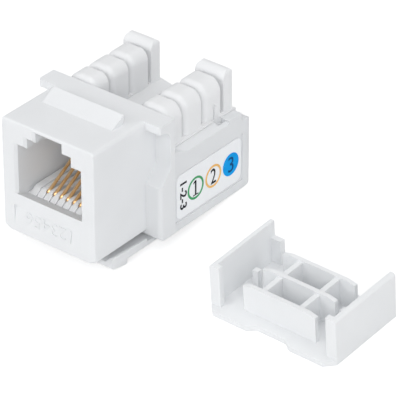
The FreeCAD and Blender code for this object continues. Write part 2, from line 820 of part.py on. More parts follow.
def build_rear_shell():
    """Open tray behind the flange that holds the board and the block."""
    part = Moulding("rear_shell")
    half = shell_width / 2
    inner = shell_inner
    top = size("shell_height")
    lip = top + size("shell_lip_rise")
    section = [(-half, underside), (half, underside), (half, top), (inner, lip),
               (inner, size("shell_floor")), (-inner, size("shell_floor")), (-inner, lip), (-half, top)]
    length = shell_back - housing_length
    part.pad("XZ", section, length, offset=housing_length)
    part.pad("XZ", centred(shell_width, underside, top), size("shell_back_wall"), offset=shell_inner_back)
    for side in (1, -1):
        low, high = sorted((inner * side, half * side), key=value_of)
        pad = rectangle(low, top - OVERLAP, high, top + size("pad_rise"))
        part.pad("XZ", pad, rim_back - rim_pocket_back, offset=rim_pocket_back)
    rear_top = top - size("shell_rear_drop")
    step = rectangle(rim_back, rear_top, shell_back + CUT_PAST, lip + CUT_PAST)
    part.pocket("YZ", step, shell_width + CUT_PAST, symmetric=True)
    part.dress("Fillet", size("shell_corner"), edge_at("Z", x=half, y=shell_back))
    across = shell_width + CUT_PAST
    part.round_off("YZ", (shell_back, underside), -1, size("shell_bottom_round"), across, up=-1)
    part.round_off("YZ", (shell_back, rear_top), -1, size("shell_top_round"), across)
    for side in (1, -1):
        cut_label_recess(part, side)
    cut_rim_pockets(part)
    gusset = [(housing_length, top - OVERLAP), (housing_length + size("gusset_length"), top - OVERLAP),
              (housing_length + size("gusset_length"), top),
              (housing_length + size("gusset_top_length"), top + size("gusset_rise")),
              (housing_length, top + size("gusset_rise"))]
    part.pad("YZ", gusset, size("shell_wall"), offset=inner)
    part.pad("YZ", gusset, size("shell_wall"), offset=-half)
    rail_low = size("shell_floor") - OVERLAP
    rail_top = size("board_top") - size("board_thickness")
    for side in (1, -1):
        far = inner * side
        close = (inner - size("board_rail_width")) * side
        low, high = sorted((far, close), key=value_of)
        rail = rectangle(low, rail_low, high, rail_top)
        part.pad("XZ", rail, shell_inner_back + OVERLAP - housing_length, offset=housing_length)
    drop_to_centre(part.body)
    return part.body


def cut_rim_pockets(part):
    """Small pocket in each side wall's rim, at the foot of the guide groove."""
    outer = shell_inner + size("rim_pocket_reach")
    top = size("shell_height") + size("shell_lip_rise") + CUT_PAST
    for side in (1, -1):
        low, high = sorted((shell_inner * side, outer * side), key=value_of)
        outline = rectangle(low, rim_pocket_start, high, rim_pocket_back)
        part.pocket("XY", outline, top - rim_pocket_floor, offset=top)


def cut_label_recess(part, side):
    """Shallow recess for the label in one side wall."""
    margin = size("label_margin")
    outline = rectangle(label_front - margin, size("label_bottom") - margin,
                        label_back + margin, size("label_top") + margin)
    floor = (shell_width / 2 - size("label_recess")) * side
    sketch = part.outline("YZ", outline, offset=floor)
    part.extrude("Pocket", sketch, size("label_recess") + CUT_PAST, False, side > 0)


def build_label(side, label):
    """Printed label, stuck on the floor of its recess."""
    part = Moulding(label)
    outline = rectangle(label_front, size("label_bottom"), label_back, size("label_top"))
    floor = shell_width / 2 - size("label_recess")
    base = floor if side > 0 else -(floor + size("label_thickness"))
    part.pad("YZ", outline, size("label_thickness"), offset=base)
    part.dress("Fillet", size("label_round"), lambda edge: along(edge, "X"))
    drop_to_centre(part.body)
    return part.body


def build_idc_block():
    """Block with two rows of four towers, three wire slots a row and a channel between the rows."""
    part = Moulding("idc_block")
    half = block_half
    channel = size("channel_width") / 2
    trench = size("trench_width") / 2
    ledge = block_ledge
    bottom = size("board_top")
    deep = ledge - size("trench_drop")
    floor = ledge - size("channel_drop")
    section = [(-half, bottom), (half, bottom), (half, ledge), (channel, ledge), (trench, floor),
               (trench, deep), (-trench, deep), (-trench, floor), (-channel, ledge), (-half, ledge)]
    block_front = housing_length + size("block_clearance")
    block_back = shell_inner_back - size("block_clearance")
    part.pad("XZ", section, block_back - block_front, offset=block_front)

    outer = tower_outer
    last_slot_back = slot_place(SLOTS_PER_ROW - 1) + size("slot_width") / 2
    base = ledge - OVERLAP
    for side in (1, -1):
        low, high = sorted((channel * side, outer * side), key=value_of)
        row = rectangle(low, base, high, tower_top)
        part.pad("XZ", row, last_slot_back - tower_front, offset=tower_front)
    part.dress("Fillet", size("tower_outer_shoulder"), edge_at("Y", x=outer, z=tower_top))
    part.dress("Fillet", size("tower_inner_shoulder"), edge_at("Y", x=channel, z=tower_top))
    rear_top = tower_top + size("rear_tower_rise")
    for side in (1, -1):
        low, high = sorted((channel * side, outer * side), key=value_of)
        row = rectangle(low, base, high, rear_top)
        part.pad("XZ", row, tower_back - last_slot_back, offset=last_slot_back)
    rear_tops = [edge_at("Y", x=outer, z=rear_top), edge_at("Y", x=channel, z=rear_top),
                 edge_at("X", y=tower_back, z=rear_top)]
    part.dress("Fillet", size("rear_tower_shoulder"), any_of(*rear_tops))
    cut_wire_slots(part)
    round_tower_tops(part)
    cut_blade_pockets(part)
    cut_guide_grooves(part)
    cut_ledge_pockets(part)
    drop_to_centre(part.body)
    return part.body


def cut_wire_slots(part):
    """Three slots through each row, across the jack."""
    half_slot = size("slot_width") / 2
    first = slot_place(0)
    top = tower_top + size("rear_tower_rise") + CUT_PAST
    slot = rectangle(first - half_slot, slot_floor, first + half_slot, top)
    feature = part.pocket("YZ", slot, tower_outer * 2 + CUT_PAST, symmetric=True)
    part.repeat(feature, "Y_Axis", size("slot_pitch"), SLOTS_PER_ROW)


def round_tower_tops(part):
    """Ease the tower edges beside every slot, so that a wire slides in."""
    half_slot = size("slot_width") / 2
    fronts = [tower_front]
    fronts += [slot_place(index) + half_slot for index in range(SLOTS_PER_ROW - 1)]
    part.dress("Fillet", size("tower_front_round"), any_of(*[arch_edge(front) for front in fronts]))
    width = tower_outer * 2 + CUT_PAST
    rear_corner = (slot_place(SLOTS_PER_ROW - 1) + half_slot, tower_top + size("rear_tower_rise"))
    part.round_off("YZ", rear_corner, 1, size("rear_tower_round"), width)
    for index in range(SLOTS_PER_ROW):
        back_corner = (slot_place(index) - half_slot, tower_top)
        part.round_off("YZ", back_corner, -1, size("tower_back_round"), width)


def arch_edge(front):
    """Picker for the outline of a tower's front face, but for its foot."""
    def picker(edge):
        box = edge.BoundBox
        return box.YLength < 1e-3 and near(box.Center.y, front) and box.ZMax > slot_floor.value + 1e-3
    return picker


def cut_blade_pockets(part):
    """Pockets from below, one round each forked blade."""
    gap = size("blade_clearance")
    half_thick = size("blade_thickness") / 2 + gap
    half_wide = size("blade_width") / 2 + gap
    depth = blade_top + gap - size("board_top")
    for side in (1, -1):
        across = blade_across * side
        first = slot_place(0)
        outline = rectangle(across - half_thick, first - half_wide, across + half_thick, first + half_wide)
        feature = part.pocket("XY", outline, depth, offset=size("board_top"), forwards=True)
        part.repeat(feature, "Y_Axis", size("slot_pitch"), SLOTS_PER_ROW)


def cut_guide_grooves(part):
    """Upright groove on the outer face of the third tower of each row, with a round upper end."""
    middle = guide_groove
    half = size("guide_groove_width") / 2
    depth = size("guide_groove_depth")
    for side in (1, -1):
        floor = (tower_outer - depth) * side
        outline = rectangle(middle - half, block_ledge, middle + half, guide_groove_top)
        sketch = part.outline("YZ", outline, offset=floor)
        part.extrude("Pocket", sketch, depth + CUT_PAST, False, side > 0)
        end = part.circle("YZ", (middle, guide_groove_top), size("guide_hole") / 2, offset=floor)
        part.extrude("Pocket", end, depth + CUT_PAST, False, side > 0)


def cut_ledge_pockets(part):
    """The block's share of the small pocket at the foot of each guide groove."""
    top = block_ledge + CUT_PAST
    for side in (1, -1):
        low, high = sorted((tower_outer * side, (block_half + CUT_PAST) * side), key=value_of)
        outline = rectangle(low, rim_pocket_start, high, rim_pocket_back)
        part.pocket("XY", outline, top - rim_pocket_floor, offset=top)


def build_circuit_board():
    """Board under the block, with holes for the six pins and the six blade legs."""
    part = Moulding("circuit_board")
    bottom = size("board_top") - size("board_thickness")
    half = shell_inner - size("board_side_gap")
    plate = rectangle(-half, housing_length + size("board_front_gap"), half,
                      shell_inner_back - size("board_back_gap"))
    part.pad("XY", plate, size("board_thickness"), offset=bottom)
    room = size("board_hole_clearance")
    pin_room = size("wire_diameter") / 2 + room
    for number, across in enumerate(contact_places(), start=1):
        hole = part.circle("XY", (across, lead_turn + lead_stagger(number)), pin_room, offset=bottom)
        part.extrude("Pocket", hole, size("board_thickness"), False, True)
    leg_wide = size("blade_leg_width") / 2 + room
    leg_thick = size("blade_thickness") / 2 + room
    for side in (1, -1):
        across = blade_across * side
        first = slot_place(0)
        outline = rectangle(across - leg_thick, first - leg_wide, across + leg_thick, first + leg_wide)
        feature = part.pocket("XY", outline, size("board_thickness"), offset=bottom, forwards=True)
        part.repeat(feature, "Y_Axis", size("slot_pitch"), SLOTS_PER_ROW)
    drop_to_centre(part.body)
    return part.body


def build_idc_terminal(number, side, index):
    """Forked blade: two tines about the slit that bites the wire, and a leg through the board."""
    part = Moulding(f"idc_terminal_{number}")
    middle = slot_place(index)
    half = size("blade_width") / 2
    leg = size("blade_leg_width") / 2
    slit = size("blade_slit") / 2
    top = blade_top
    slit_floor = top - size("blade_slit_length")
    shoulder = size("board_top")
    foot = shoulder - size("blade_leg_length")
    taper = size("blade_slit") * 1.5
    fork = [(middle - leg, foot), (middle + leg, foot), (middle + leg, shoulder),
            (middle + half, shoulder), (middle + half, top), (middle + slit + taper, top),
            (middle + slit, top - taper * 2), (middle + slit, slit_floor),
            (middle - slit, slit_floor), (middle - slit, top - taper * 2),
            (middle - slit - taper, top), (middle - half, top),
            (middle - half, shoulder), (middle - leg, shoulder)]
    base = blade_across * side - size("blade_thickness") / 2
    part.pad("YZ", fork, size("blade_thickness"), offset=base)
    drop_to_centre(part.body)
    return part.body


def build_termination_cap():
    """Wiring cap, upside down: floor, side walls, three blades, two ribs, returns and posts."""
    part = Moulding("termination_cap")
    half = cap_width / 2
    depth = size("cap_depth")
    floor = size("cap_floor")
    wall = size("cap_wall")
    height = size("cap_wall_height")
    corner = size("cap_corner")
    notch = size("cap_notch_width") / 2
    ease = size("cap_notch_depth")
    plan = [(-half, corner), (corner - half, 0), (-notch - ease, 0), (-notch, ease), (notch, ease),
            (notch + ease, 0), (half - corner, 0), (half, corner), (half, depth), (-half, depth)]
    part.pad("XY", plan, floor)
    part.dress("Fillet", size("cap_notch_round"),
               any_of(edge_at("Z", x=notch, y=ease), edge_at("Z", x=notch + ease, y=0)))
    for side in (1, -1):
        low, high = sorted((half * side, (half - wall) * side), key=value_of)
        part.pad("XY", rectangle(low, corner, high, depth), height)
        low, high = sorted((half * side, (half - wall - size("cap_front_lip")) * side), key=value_of)
        part.pad("XY", rectangle(low, corner, high, corner + wall), height)
        low, high = sorted((half * side, (half - wall - size("cap_return_width")) * side), key=value_of)
        back = depth - size("cap_return_thickness")
        part.pad("XY", rectangle(low, back, high, depth), size("cap_return_height"))
        post = size("cap_post_size") / 2
        across = size("cap_post_across") * side
        middle = cap_blade_place(1)
        part.pad("XY", rectangle(across - post, middle - post, across + post, middle + post),
                 size("cap_post_height"))
    blade_half = size("cap_blade_width") / 2
    blade_top = size("cap_blade_height")
    drop = size("cap_blade_shoulder")
    crest = [(-blade_half, 0), (blade_half, 0), (blade_half, blade_top - drop),
             (blade_half - drop * 4, blade_top), (drop * 4 - blade_half, blade_top),
             (-blade_half, blade_top - drop)]
    first = part.pad("XZ", crest, size("cap_blade_thickness"),
                     offset=cap_blade_place(0) - size("cap_blade_thickness") / 2)
    part.repeat(first, "Y_Axis", size("slot_pitch"), SLOTS_PER_ROW)
    rib = size("cap_rib_thickness") / 2
    for side in (1, -1):
        across = size("cap_rib_spacing") / 2 * side
        rib_back = cap_blade_place(SLOTS_PER_ROW - 1)
        part.pad("XY", rectangle(across - rib, cap_blade_place(0), across + rib, rib_back), blade_top - drop)
    part.dress("Fillet", size("cap_edge_round"), edge_at("Y", x=half, z=height))
    place_cap(part.body)
    return part.body


def cap_blade_place(index):
    """The blades stand at the pitch of the wire slots that they close."""
    return size("cap_blade_first") + size("slot_pitch") * index


def rest_plane():
    """Height of the barb's heel and the slope up to the shell's rear bottom edge."""
    heel = Vector(0, SIZES["barb_back"], barb_bottom.value)
    rear = Vector(0, shell_back.value - SIZES["shell_bottom_round"], underside.value)
    return heel, math.degrees(math.atan2(rear.z - heel.z, rear.y - heel.y))


def place_cap(body):
    """The cap lies on the surface that the barb and the shell's rear edge rest on."""
    heel, slope = rest_plane()
    lean = Rotation(Vector(1, 0, 0), slope)
    turn = Rotation(Vector(0, 0, 1), SIZES["cap_turn"])
    aside = Vector(SIZES["cap_across"], SIZES["cap_along"], 0)
    spot = heel + lean.multiply(turn).multVec(aside)
    spot.z -= SIZES["face_height"] / 2
    body.Placement = Placement(spot, lean.multiply(turn))


def build_all():
    bodies = [build_front_housing(), build_latch_arm(), build_contact_carrier()]
    for number, across in enumerate(contact_places(), start=1):
        bodies.append(build_contact_wire(number, across))
        bodies.append(build_contact_lead(number, across))
    bodies.append(build_circuit_board())
    terminals = [(side, index) for side in (1, -1) for index in range(SLOTS_PER_ROW)]
    for number, (side, index) in enumerate(terminals, start=1):
        bodies.append(build_idc_terminal(number, side, index))
    bodies += [build_idc_block(), build_rear_shell(), build_label(1, "label_right"),
               build_label(-1, "label_left"), build_termination_cap()]
    return bodies


def check(bodies):
    """Stop before anything is written if an object failed or a shape is not one sound solid."""
    doc.recompute()
    failed = [item.Name for item in doc.Objects if "Invalid" in item.State or "Error" in item.State]
    if failed:
        raise RuntimeError(f"failed objects: {failed}")
    for body in bodies:
        shape = body.Shape
        if shape.isNull() or not shape.isValid() or len(shape.Solids) != 1:
            raise RuntimeError(f"{body.Label}: not one sound solid")


def write(bodies):
    os.makedirs("parts", exist_ok=True)
    for body in bodies:
        body.Shape.exportStep(os.path.join("parts", f"{body.Label}.step"))
        print(f"{body.Label:20s} {body.Shape.Volume:9.2f} mm3")


pieces = build_all()
check(pieces)
write(pieces)
print("rest slope", round(rest_plane()[1], 2))
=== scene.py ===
"""Finishes, printed marks, staging and camera of a keystone jack with its wiring cap."""

import logging
import math
from dataclasses import dataclass
from enum import Enum

import bmesh
import bpy
from mathutils import Matrix, Vector


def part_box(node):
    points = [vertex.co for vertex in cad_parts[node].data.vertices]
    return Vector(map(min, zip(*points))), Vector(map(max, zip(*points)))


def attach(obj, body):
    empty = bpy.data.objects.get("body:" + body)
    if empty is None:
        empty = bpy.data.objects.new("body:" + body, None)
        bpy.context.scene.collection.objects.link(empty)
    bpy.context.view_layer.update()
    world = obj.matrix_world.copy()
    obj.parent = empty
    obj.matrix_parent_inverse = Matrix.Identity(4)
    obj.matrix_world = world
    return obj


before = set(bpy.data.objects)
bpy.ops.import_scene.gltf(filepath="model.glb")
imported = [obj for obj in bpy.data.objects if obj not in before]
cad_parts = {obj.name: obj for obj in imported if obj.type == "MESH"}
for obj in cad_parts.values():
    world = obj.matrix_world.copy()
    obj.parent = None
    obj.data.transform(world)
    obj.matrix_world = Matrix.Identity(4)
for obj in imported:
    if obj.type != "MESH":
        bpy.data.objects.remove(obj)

Colour = tuple[float, float, float]

MM = 0.001
SPIN_STEPS = 72
PINHOLE = 0.01
SAME_PLACE = 1e-8
log = logging.getLogger("keystone_jack")


class Slot(Enum):
    """Material slots of the record. No piece here takes its finish from them; finish_of chooses each finish
    by part name.
    """

    HOUSING = "housing_white"
    LABEL = "label_paper"


# ---------------------------------------------------------------- finishes


def new_material(name: str) -> tuple[bpy.types.Material, bpy.types.ShaderNodeTree, bpy.types.Node]:
    """Make an empty node material with a Principled shader.

    Args:
        name: the material's name.

    Returns:
        The material, its node tree and its Principled shader.
    """
    material = bpy.data.materials.new(name)
    material.use_nodes = True
    tree = material.node_tree
    tree.nodes.clear()
    shader = tree.nodes.new("ShaderNodeBsdfPrincipled")
    output = tree.nodes.new("ShaderNodeOutputMaterial")
    tree.links.new(shader.outputs["BSDF"], output.inputs["Surface"])
    return material, tree, shader


def noise(tree: bpy.types.ShaderNodeTree, scale: float, detail: float = 3.0) -> bpy.types.NodeSocket:
    """Add a noise pattern on the object's own coordinates.

    Args:
        tree: node tree that gets the pattern.
        scale: bumps per metre.
        detail: octaves of finer noise.

    Returns:
        The socket that carries the pattern's height, from 0 to 1.
    """
    place = tree.nodes.new("ShaderNodeTexCoord")
    texture = tree.nodes.new("ShaderNodeTexNoise")
    texture.inputs["Scale"].default_value = scale
    texture.inputs["Detail"].default_value = detail
    tree.links.new(place.outputs["Object"], texture.inputs["Vector"])
    return texture.outputs["Fac"]


def ramp(tree: bpy.types.ShaderNodeTree, source: bpy.types.NodeSocket,
         low: Colour, high: Colour, start: float = 0.3, end: float = 0.7) -> bpy.types.NodeSocket:
    """Turn a height into a colour between two colours.

    Args:
        tree: node tree that gets the ramp.
        source: height from 0 to 1.
        low: linear colour at the start.
        high: linear colour at the end.
        start: height at which the low colour ends.
        end: height at which the high colour begins.

    Returns:
        The ramp's colour socket.
    """
    node = tree.nodes.new("ShaderNodeValToRGB")
    node.color_ramp.elements[0].position = start
    node.color_ramp.elements[1].position = end
    node.color_ramp.elements[0].color = (*low, 1.0)
    node.color_ramp.elements[1].color = (*high, 1.0)
    tree.links.new(source, node.inputs["Fac"])
    return node.outputs["Color"]


def spread(tree: bpy.types.ShaderNodeTree, source: bpy.types.NodeSocket,
           low: float, high: float) -> bpy.types.NodeSocket:
    """Map a height from 0..1 to low..high.

    Args:
        tree: node tree that gets the mapping.
        source: height from 0 to 1.
        low: value at height 0.
        high: value at height 1.

    Returns:
        The socket that carries the mapped value.
    """
    node = tree.nodes.new("ShaderNodeMapRange")
    node.inputs["To Min"].default_value = low
    node.inputs["To Max"].default_value = high
    tree.links.new(source, node.inputs["Value"])
    return node.outputs["Result"]


def bump(tree: bpy.types.ShaderNodeTree, shader: bpy.types.Node, height: bpy.types.NodeSocket,
         depth: float) -> None:
    """Roughen a shader's surface by a height pattern.

    Args:
        tree: node tree that gets the bump.
        shader: Principled shader to roughen.
        height: height from 0 to 1.
        depth: real depth of the pattern, in metres.
    """
    node = tree.nodes.new("ShaderNodeBump")
    node.inputs["Strength"].default_value = 1.0
    node.inputs["Distance"].default_value = depth
    tree.links.new(height, node.inputs["Height"])
    tree.links.new(node.outputs["Normal"], shader.inputs["Normal"])


@dataclass(frozen=True)
class MouldedPlastic:
    """White moulded plastic: fine mould texture, faint flow clouding and a satin sheen."""

    name: str
    colour: Colour = (0.865, 0.877, 0.892)
    clouding: float = 0.97
    clouds_per_metre: float = 140.0
    patches_per_metre: float = 420.0
    gloss_low: float = 0.45
    gloss_high: float = 0.56
    grain_per_metre: float = 5200.0
    grain_depth: float = 0.0000035
    index: float = 1.52
    glow: float = 0.12
    glow_depth: float = 0.0006

    def make(self) -> bpy.types.Material:
        """Build the finish.

        Returns:
            The material.
        """
        material, tree, shader = new_material(self.name)
        shade = tuple(channel * self.clouding for channel in self.colour)
        clouds = noise(tree, self.clouds_per_metre, 2.0)
        tree.links.new(ramp(tree, clouds, shade, self.colour), shader.inputs["Base Color"])
        patches = noise(tree, self.patches_per_metre)
        tree.links.new(spread(tree, patches, self.gloss_low, self.gloss_high), shader.inputs["Roughness"])
        bump(tree, shader, noise(tree, self.grain_per_metre, 4.0), self.grain_depth)
        shader.inputs["IOR"].default_value = self.index
        shader.inputs["Subsurface Weight"].default_value = self.glow
        shader.inputs["Subsurface Radius"].default_value = (1.0, 1.0, 1.0)
        shader.inputs["Subsurface Scale"].default_value = self.glow_depth
        return material


@dataclass(frozen=True)
class PlatedWire:
    """Drawn wire with a thin plated skin: fine lengthwise draw marks and slight tarnish."""

    name: str
    colour: Colour
    tarnish: Colour
    gloss: float = 0.28
    polished: float = 0.06
    dulled: float = 0.1
    spots_per_metre: float = 900.0
    smears_per_metre: float = 2600.0
    draw_marks_per_metre: float = 7000.0
    draw_mark_depth: float = 0.000002

    def make(self) -> bpy.types.Material:
        """Build the finish.

        Returns:
            The material.
        """
        material, tree, shader = new_material(self.name)
        spots = noise(tree, self.spots_per_metre, 4.0)
        tree.links.new(ramp(tree, spots, self.tarnish, self.colour, 0.25, 0.55), shader.inputs["Base Color"])
        smears = noise(tree, self.smears_per_metre)
        tree.links.new(spread(tree, smears, self.gloss - self.polished, self.gloss + self.dulled), shader.inputs["Roughness"])
        bump(tree, shader, noise(tree, self.draw_marks_per_metre, 2.0), self.draw_mark_depth)
        shader.inputs["Metallic"].default_value = 1.0
        return material


@dataclass(frozen=True)
class PrintedFilm:
    """Thin printed film: faint fibre mottling under a clear, slightly wavy coat."""

    name: str
    colour: Colour
    edge: Colour
    gloss: float = 0.35
    polished: float = 0.05
    dulled: float = 0.08
    shine: float = 0.4
    fibres_per_metre: float = 1600.0
    smears_per_metre: float = 700.0
    waves_per_metre: float = 900.0
    wave_depth: float = 0.000004

    def make(self) -> bpy.types.Material:
        """Build the finish.

        Returns:
            The material.
        """
        material, tree, shader = new_material(self.name)
        shader.inputs["Specular IOR Level"].default_value = self.shine
        fibres = noise(tree, self.fibres_per_metre, 5.0)
        tree.links.new(ramp(tree, fibres, self.edge, self.colour, 0.3, 0.6), shader.inputs["Base Color"])
        smears = noise(tree, self.smears_per_metre, 2.0)
        tree.links.new(spread(tree, smears, self.gloss - self.polished, self.gloss + self.dulled), shader.inputs["Roughness"])
        bump(tree, shader, noise(tree, self.waves_per_metre, 2.0), self.wave_depth)
        return material


@dataclass(frozen=True)
class SolderMask:
    """Green board lacquer with a weave showing through."""

    name: str
    colour: Colour = (0.02, 0.11, 0.045)
    light: Colour = (0.035, 0.17, 0.07)
    threads_per_metre: float = 2500.0
    smears_per_metre: float = 900.0
    gloss_low: float = 0.3
    gloss_high: float = 0.45

    def make(self) -> bpy.types.Material:
        """Build the finish.

        Returns:
            The material.
        """
        material, tree, shader = new_material(self.name)
        place = tree.nodes.new("ShaderNodeTexCoord")
        weave = tree.nodes.new("ShaderNodeTexChecker")
        weave.inputs["Scale"].default_value = self.threads_per_metre
        tree.links.new(place.outputs["Object"], weave.inputs["Vector"])
        tree.links.new(ramp(tree, weave.outputs["Fac"], self.colour, self.light, 0.0, 1.0),
                       shader.inputs["Base Color"])
        smears = noise(tree, self.smears_per_metre)
        tree.links.new(spread(tree, smears, self.gloss_low, self.gloss_high), shader.inputs["Roughness"])
        return material


class Finishes:
    """Every finish of the jack, made once."""

    def __init__(self) -> None:
        """Make the materials."""
        self.housing = MouldedPlastic("housing_plastic").make()
        self.insert = MouldedPlastic("insert_plastic", colour=(0.885, 0.892, 0.903)).make()
        # The shell's plastic is darker than the housing's: painted shade for the dimmer light on the shell's
        # sides and low strip.
        self.shell = MouldedPlastic("shell_plastic_painted_shade", colour=(0.82, 0.833, 0.85)).make()
        self.cap = MouldedPlastic("cap_plastic", colour=(0.88, 0.892, 0.905)).make()
        self.gold = PlatedWire("gold_wire", (1.0, 0.66, 0.33), (0.9, 0.5, 0.19)).make()
        self.tin = PlatedWire("tinned_blade", (0.70, 0.69, 0.66), (0.5, 0.49, 0.46), 0.35).make()
        self.film = PrintedFilm("label_film", (0.965, 0.98, 1.0), (0.95, 0.965, 0.99)).make()
        self.mask = SolderMask("board_lacquer").make()
        self.ink = self.printed("black_ink", (0.012, 0.013, 0.018), (0.025, 0.027, 0.035))
        self.navy = self.printed("navy_ink", (0.004, 0.075, 0.22), (0.006, 0.09, 0.25))
        self.green = self.printed("green_ink", (0.06, 0.36, 0.14), (0.09, 0.42, 0.18))
        self.orange = self.printed("orange_ink", (0.92, 0.52, 0.15), (0.93, 0.58, 0.23))
        self.blue = self.printed("blue_ink", (0.0, 0.35, 0.87), (0.005, 0.39, 0.9))

    @staticmethod
    def printed(name: str, colour: Colour, edge: Colour) -> bpy.types.Material:
        """Make a flat printing ink.

        Args:
            name: the ink's name.
            colour: the ink's linear colour.
            edge: linear colour of its mottling.

        Returns:
            The material.
        """
        return PrintedFilm(name, colour, edge, gloss=0.5, shine=0.08).make()


def dress(node: str, material: bpy.types.Material) -> None:
    """Give a modelled part its finish.

    Args:
        node: name of the part.
        material: finish for all of its slots.
    """
    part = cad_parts[node]
    if not part.material_slots:
        part.data.materials.append(material)
    for slot in part.material_slots:
        slot.material = material
    log.info("%s dressed in %s", node, material.name)


# ---------------------------------------------------------------- printed and moulded marks


def settle(name: str, mesh: bpy.types.Mesh, place: Matrix, material: bpy.types.Material) -> bpy.types.Object:
    """Make a finished mesh an object of the housing, with its place in its mesh.

    Args:
        name: object name.
        mesh: mesh in its own flat coordinates, in metres.
        place: where the mesh goes.
        material: finish.

    Returns:
        The new object.
    """
    mesh.transform(place)
    mesh.materials.clear()
    mesh.materials.append(material)
    piece = bpy.data.objects.new(name, mesh)
    bpy.context.scene.collection.objects.link(piece)
    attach(piece, "housing")
    log.info("%s placed", name)
    return piece


def ring_mesh(name: str, outer: float, inner: float, thickness: float) -> bpy.types.Mesh:
    """Spin a flat ring, or a disc with a pinhole where inner is 0.

    Args:
        name: mesh name.
        outer: outer radius in metres.
        inner: inner radius in metres.
        thickness: height above the plane in metres.

    Returns:
        A closed mesh about its own Z axis.
    """
    work = bmesh.new()
    bore = max(inner, outer * PINHOLE)
    low = work.verts.new((bore, 0.0, 0.0))
    far = work.verts.new((outer, 0.0, 0.0))
    rim = work.verts.new((outer, 0.0, thickness))
    top = work.verts.new((bore, 0.0, thickness))
    section = [work.edges.new(pair) for pair in ((low, far), (far, rim), (rim, top), (top, low))]
    bmesh.ops.spin(work, geom=section, cent=(0, 0, 0), axis=(0, 0, 1), dvec=(0, 0, 0),
                   angle=math.tau, steps=SPIN_STEPS, use_merge=True)
    bmesh.ops.remove_doubles(work, verts=work.verts, dist=SAME_PLACE)
    bmesh.ops.recalc_face_normals(work, faces=work.faces)
    mesh = bpy.data.meshes.new(name)
    work.to_mesh(mesh)
    work.free()
    return mesh


def figures_mesh(name: str, text: str, height: float, thickness: float, length: float,
                 weight: float = 0.0) -> bpy.types.Mesh:
    """Make plain figures as a mesh, centred on the origin.

    Args:
        name: mesh name.
        text: figures to set.
        height: figure height in metres.
        thickness: how far they stand above the plane.
        length: length of the whole row in metres.
        weight: extra stroke width, as a share of the height.

    Returns:
        The mesh, lying in its own XY plane.
    """
    curve = bpy.data.curves.new(name, "FONT")
    curve.body = text
    curve.size = 1.0
    curve.offset = weight
    curve.extrude = 0.5
    curve.fill_mode = "BOTH"
    curve.resolution_u = 6
    holder = bpy.data.objects.new(name, curve)
    bpy.context.scene.collection.objects.link(holder)
    bpy.context.view_layer.update()
    mesh = bpy.data.meshes.new_from_object(holder.evaluated_get(bpy.context.evaluated_depsgraph_get()))
    bpy.data.objects.remove(holder)
    bpy.data.curves.remove(curve)
    corners = [vertex.co for vertex in mesh.vertices]
    low = Vector([min(corner[axis] for corner in corners) for axis in range(3)])
    high = Vector([max(corner[axis] for corner in corners) for axis in range(3)])
    scale = height / (high.y - low.y)
    centre = Vector(((low.x + high.x) / 2, (low.y + high.y) / 2, low.z))
    size = Matrix.Diagonal((length / (high.x - low.x), scale, thickness / (high.z - low.z), 1.0))
    mesh.transform(size @ Matrix.Translation(-centre))
    mesh.name = name
    return mesh


def serif_one_mesh(name: str, height: float, width: float, thickness: float) -> bpy.types.Mesh:
    """Draw a figure one with a foot and a flag, centred on the origin.

    Args:
        name: mesh name.
        height: figure height in metres.
        width: width of its foot in metres.
        thickness: how far it stands above the plane.

    Returns:
        The mesh, lying in its own XY plane.
    """
    stem = width * 0.13
    foot = height * 0.07
    flag_reach = width * 0.42
    flag_top, flag_bottom, flag_root = height * 0.12, height * 0.19, height * 0.13
    low, high = -height / 2, height / 2
    outline = [(-width / 2, low), (width / 2, low), (width / 2, low + foot), (stem, low + foot),
               (stem, high), (-stem, high), (-flag_reach, high - flag_top),
               (-flag_reach, high - flag_bottom), (-stem, high - flag_root),
               (-stem, low + foot), (-width / 2, low + foot)]
    work = bmesh.new()
    face = work.faces.new([work.verts.new((x, y, 0.0)) for x, y in outline])
    grown = bmesh.ops.extrude_face_region(work, geom=[face])
    raised = [item for item in grown["geom"] if isinstance(item, bmesh.types.BMVert)]
    bmesh.ops.translate(work, verts=raised, vec=(0.0, 0.0, thickness))
    bmesh.ops.recalc_face_normals(work, faces=work.faces)
    mesh = bpy.data.meshes.new(name)
    work.to_mesh(mesh)
    work.free()
    return mesh


